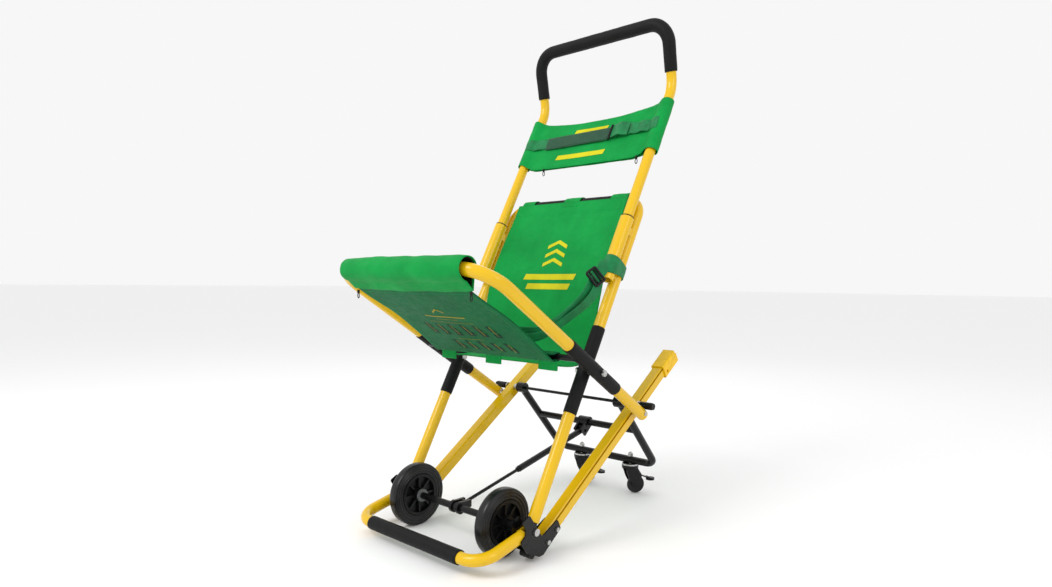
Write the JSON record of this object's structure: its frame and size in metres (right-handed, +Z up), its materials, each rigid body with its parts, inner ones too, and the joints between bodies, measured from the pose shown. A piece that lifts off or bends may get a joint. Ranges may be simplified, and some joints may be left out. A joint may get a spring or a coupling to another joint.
{
  "type": "stair chair",
  "caption": "Folding evacuation chair with sling seat, belt tracks for stairs, front wheels, sliding handle and swing-out caster frame.",
  "frame": {"origin": "on the floor under the middle of the object, with the chair unfolded on its front wheels and casters", "axes": "+Z up, the sitter faces -Y, +X to the sitter's left"},
  "size_m": [0.52, 0.818, 1.2252],
  "materials": {
    "yellow_paint": "gloss powder coat",
    "cap_plastic": "moulded gloss",
    "black_paint": "satin powder coat",
    "bright_steel": "zinc plated",
    "pulley_metal": "machined",
    "black_plastic": "moulded matte",
    "grey_plastic": "moulded matte",
    "black_foam": "foam sleeve with a fine skin",
    "belt_rubber": "matte",
    "tyre_rubber": "matte",
    "green_fabric": "coated polyester weave",
    "green_webbing": "ribbed webbing"
  },
  "bodies": {
    "track_base": {"rail_left": "yellow_paint", "rail_right": "yellow_paint", "rail_caps": "cap_plastic", "track_belts": "belt_rubber", "bracket_outer_plates": "black_paint", "bracket_inner_plates": "black_paint", "rail_bolts": "bright_steel", "main_pivot_bolts": "bright_steel", "bracket_feet": "black_plastic", "front_axle": "black_paint", "axle_clamp": "black_paint", "axle_spacers": "black_plastic", "hub_washers": "grey_plastic", "caster_pivot_rod": "black_paint", "rod_spacers": "bright_steel", "pivot_knobs": "black_plastic"},
    "front_wheel_left": {"front_tyre_left": "tyre_rubber", "front_hub_left": "black_plastic"},
    "front_wheel_right": {"front_tyre_right": "tyre_rubber", "front_hub_right": "black_plastic"},
    "pulley_front_left": {"front_pulley_left": "pulley_metal"},
    "pulley_front_right": {"front_pulley_right": "pulley_metal"},
    "pulley_rear_left": {"rear_pulley_left": "pulley_metal"},
    "pulley_rear_right": {"rear_pulley_right": "pulley_metal"},
    "back_frame": {"back_frame_tube": "yellow_paint", "upright_end_plugs": "black_plastic", "upright_sleeves": "black_foam", "top_bar_foam": "black_foam", "handle_receivers": "yellow_paint", "receiver_collars": "black_plastic", "receiver_saddles": "yellow_paint", "receiver_screws": "bright_steel", "seat_pivot_bolts": "bright_steel", "backrest_fabric": "green_fabric", "lap_strap": "green_webbing", "strap_buckle": "black_plastic"},
    "handle": {"handle_tube": "yellow_paint", "handle_grip": "black_foam", "head_support": "green_fabric", "head_strap": "green_webbing"},
    "seat_frame": {"seat_frame_tube": "yellow_paint", "seat_sleeves": "black_foam", "seat_end_caps": "yellow_paint", "seat_slide_pins": "bright_steel", "seat_rear_bar": "black_paint", "seat_roll": "green_fabric", "seat_fabric": "green_fabric"},
    "footrest": {"footrest_frame": "yellow_paint", "footrest_grip": "black_foam"},
    "caster_frame": {"caster_frame": "black_paint", "strut_mount": "black_paint", "caster_stems": "bright_steel"},
    "strut_cylinder": {"strut_cylinder": "black_paint"},
    "strut_rod": {"strut_rod": "black_paint"},
    "caster_left": {"caster_fork_left": "black_paint"},
    "caster_right": {"caster_fork_right": "black_paint"},
    "caster_roller_left": {"caster_wheel_left": "tyre_rubber"},
    "caster_roller_right": {"caster_wheel_right": "tyre_rubber"},
    "brake_left": {"brake_lever_left": "black_plastic"},
    "brake_right": {"brake_lever_right": "black_plastic"}
  },
  "joints": [
    {"name": "back_fold", "type": "hinge", "parent": "track_base", "child": "back_frame", "pos_m": [0, -0.21291, 0.067], "axis": [1, 0, 0], "range_deg": [-21.38, 0]},
    {"name": "seat_fold", "type": "hinge", "parent": "back_frame", "child": "seat_frame", "pos_m": [0, -0.03771, 0.38834], "axis": [1, 0, 0], "range_deg": [-73.42, 0]},
    {"name": "handle_slide", "type": "slide", "parent": "back_frame", "child": "handle", "axis": [0, 0.4787, 0.878], "range_m": [-0.16, 0]},
    {"name": "footrest_fold", "type": "hinge", "parent": "track_base", "child": "footrest", "pos_m": [0, -0.21291, 0.067], "axis": [1, 0, 0], "range_deg": [-70, 0]},
    {"name": "caster_fold", "type": "hinge", "parent": "track_base", "child": "caster_frame", "pos_m": [0, 0.16456, 0.2898], "axis": [1, 0, 0], "range_deg": [-98, 0]},
    {"name": "strut_swing", "type": "hinge", "parent": "caster_frame", "child": "strut_cylinder", "pos_m": [0, 0.22904, 0.18399], "axis": [1, 0, 0], "range_deg": [0, 116.3]},
    {"name": "strut_slide", "type": "slide", "parent": "strut_cylinder", "child": "strut_rod", "axis": [0, 0.9732, 0.23], "range_m": [0, 0.1452]},
    {"name": "front_wheel_left_spin", "type": "hinge", "parent": "track_base", "child": "front_wheel_left", "pos_m": [0.142, -0.23291, 0.075], "axis": [1, 0, 0], "continuous": true},
    {"name": "front_wheel_right_spin", "type": "hinge", "parent": "track_base", "child": "front_wheel_right", "pos_m": [-0.142, -0.23291, 0.075], "axis": [1, 0, 0], "continuous": true},
    {"name": "caster_left_swivel", "type": "hinge", "parent": "caster_frame", "child": "caster_left", "pos_m": [0.084, 0.34496, 0.06], "axis": [0, 0, 1], "continuous": true},
    {"name": "caster_wheel_left_spin", "type": "hinge", "parent": "caster_left", "child": "caster_roller_left", "pos_m": [0.0938, 0.36005, 0.025], "axis": [-0.8387, 0.5446, 0], "continuous": true},
    {"name": "brake_left_press", "type": "hinge", "parent": "caster_left", "child": "brake_left", "pos_m": [0.08945, 0.35334, 0.057], "axis": [-0.8387, 0.5446, 0], "range_deg": [-20, 0]},
    {"name": "caster_right_swivel", "type": "hinge", "parent": "caster_frame", "child": "caster_right", "pos_m": [-0.084, 0.34496, 0.06], "axis": [0, 0, 1], "continuous": true},
    {"name": "caster_wheel_right_spin", "type": "hinge", "parent": "caster_right", "child": "caster_roller_right", "pos_m": [-0.06639, 0.3487, 0.025], "axis": [-0.2079, 0.9781, 0], "continuous": true},
    {"name": "brake_right_press", "type": "hinge", "parent": "caster_right", "child": "brake_right", "pos_m": [-0.07422, 0.34703, 0.057], "axis": [-0.2079, 0.9781, 0], "range_deg": [-20, 0]},
    {"name": "front_pulley_left_spin", "type": "hinge", "parent": "track_base", "child": "pulley_front_left", "pos_m": [0.202, -0.17333, 0.03489], "axis": [1, 0, 0], "continuous": true},
    {"name": "rear_pulley_left_spin", "type": "hinge", "parent": "track_base", "child": "pulley_rear_left", "pos_m": [0.202, 0.29358, 0.36183], "axis": [1, 0, 0], "continuous": true},
    {"name": "front_pulley_right_spin", "type": "hinge", "parent": "track_base", "child": "pulley_front_right", "pos_m": [-0.202, -0.17333, 0.03489], "axis": [1, 0, 0], "continuous": true},
    {"name": "rear_pulley_right_spin", "type": "hinge", "parent": "track_base", "child": "pulley_rear_right", "pos_m": [-0.202, 0.29358, 0.36183], "axis": [1, 0, 0], "continuous": true}
  ],
  "couplings": [
    {"joint": "seat_fold", "follows": "back_fold", "ratio": 3.4327},
    {"joint": "strut_swing", "follows": "caster_fold", "ratio": -1.1862},
    {"joint": "strut_slide", "follows": "caster_fold", "m_per_rad": -0.084751},
    {"joint": "rear_pulley_left_spin", "follows": "front_pulley_left_spin", "ratio": 1},
    {"joint": "rear_pulley_right_spin", "follows": "front_pulley_right_spin", "ratio": 1}
  ]
}
